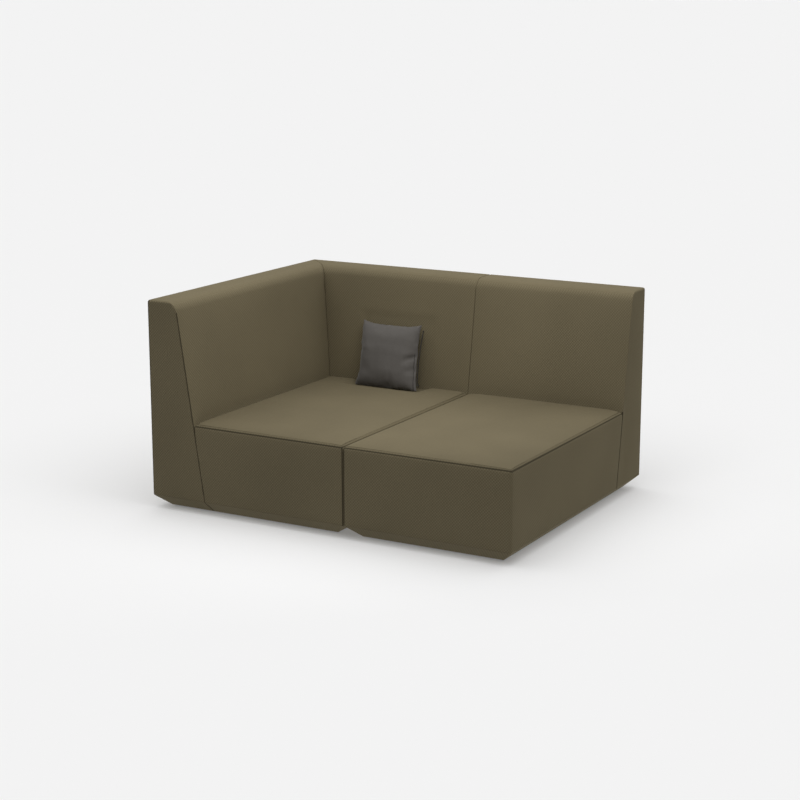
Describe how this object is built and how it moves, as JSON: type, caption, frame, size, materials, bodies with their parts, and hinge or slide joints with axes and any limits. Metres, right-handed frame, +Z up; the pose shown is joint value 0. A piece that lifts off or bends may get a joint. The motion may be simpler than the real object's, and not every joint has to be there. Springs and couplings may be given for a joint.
{
  "type": "modular sofa",
  "caption": "Modular corner sofa with a leaning arm and high backs, deep seat blocks on a chamfered plinth, and a loose scatter pillow.",
  "frame": {"origin": "centre of the sofa's plan at floor level, under the glides", "axes": "+X along the sofa's width to the open side, +Y to the rear so the sitter faces -Y, +Z up"},
  "size_m": [1.78, 1.38, 0.944],
  "materials": {
    "sofa_fabric": "matte",
    "pillow_fabric": "matte",
    "fibre_filling": "matte",
    "foam": "matte",
    "webbing": "matte",
    "plywood": "matte",
    "dust_cloth": "matte",
    "glide_plastic": "matte",
    "zinc_steel": "satin",
    "zip_tape": "matte",
    "zip_metal": "satin"
  },
  "bodies": {
    "corner_seat": {"left_seat_cover": "sofa_fabric", "left_seat_topper_foam": "foam", "left_seat_core_foam": "foam", "left_seat_side_foam": "foam", "left_seat_webbing": "webbing", "left_seat_rails": "plywood", "left_seat_bearers": "plywood", "left_seat_base_board": "plywood", "left_seat_dust_cloth": "dust_cloth", "left_seat_glides": "glide_plastic", "left_seat_keepers": "zinc_steel", "left_seat_screws": "zinc_steel"},
    "open_seat": {"right_seat_cover": "sofa_fabric", "right_seat_topper_foam": "foam", "right_seat_core_foam": "foam", "right_seat_side_foam": "foam", "right_seat_webbing": "webbing", "right_seat_rails": "plywood", "right_seat_bearers": "plywood", "right_seat_base_board": "plywood", "right_seat_dust_cloth": "dust_cloth", "right_seat_glides": "glide_plastic", "right_seat_keepers": "zinc_steel", "right_seat_screws": "zinc_steel", "right_seat_tongues": "zinc_steel"},
    "arm": {"arm_cover": "sofa_fabric", "arm_foam": "foam", "arm_panels": "plywood", "arm_rib_frame": "plywood", "arm_base_board": "plywood", "arm_dust_cloth": "dust_cloth", "arm_glides": "glide_plastic", "arm_tongues": "zinc_steel", "arm_screws": "zinc_steel"},
    "left_back": {"left_back_cover": "sofa_fabric", "left_back_foam": "foam", "left_back_panels": "plywood", "left_back_rib_frame": "plywood", "left_back_base_board": "plywood", "left_back_dust_cloth": "dust_cloth", "left_back_glides": "glide_plastic", "left_back_tongues": "zinc_steel", "left_back_screws": "zinc_steel"},
    "right_back": {"right_back_cover": "sofa_fabric", "right_back_foam": "foam", "right_back_panels": "plywood", "right_back_rib_frame": "plywood", "right_back_base_board": "plywood", "right_back_dust_cloth": "dust_cloth", "right_back_glides": "glide_plastic", "right_back_tongues": "zinc_steel", "right_back_screws": "zinc_steel"},
    "pillow": {"pillow_cover": "pillow_fabric", "pillow_filling": "fibre_filling", "pillow_zip_tape": "zip_tape"},
    "zip_slider": {"pillow_zip_slider": "zip_metal"},
    "zip_pull": {"pillow_zip_pull": "zip_metal"}
  },
  "joints": [
    {"name": "open_seat_slide", "type": "slide", "parent": "corner_seat", "child": "open_seat", "axis": [1, 0, 0], "range_m": [0, 0.3]},
    {"name": "arm_slide", "type": "slide", "parent": "corner_seat", "child": "arm", "axis": [-1, 0, 0], "range_m": [0, 0.2]},
    {"name": "left_back_slide", "type": "slide", "parent": "corner_seat", "child": "left_back", "axis": [0, 1, 0], "range_m": [0, 0.2]},
    {"name": "right_back_slide", "type": "slide", "parent": "open_seat", "child": "right_back", "axis": [0, 1, 0], "range_m": [0, 0.2]},
    {"name": "pillow_lift", "type": "slide", "parent": "corner_seat", "child": "pillow", "axis": [0, 0, 1], "range_m": [0, 0.3]},
    {"name": "zip_slide", "type": "slide", "parent": "pillow", "child": "zip_slider", "axis": [-0.0314, 0.3006, 0.9532], "range_m": [0, 0.25]},
    {"name": "zip_pull_swing", "type": "hinge", "parent": "zip_slider", "child": "zip_pull", "pos_m": [-0.1193, 0.38145, 0.4367], "axis": [0, -0.9537, 0.3007], "range_deg": [0, 150]}
  ]
}
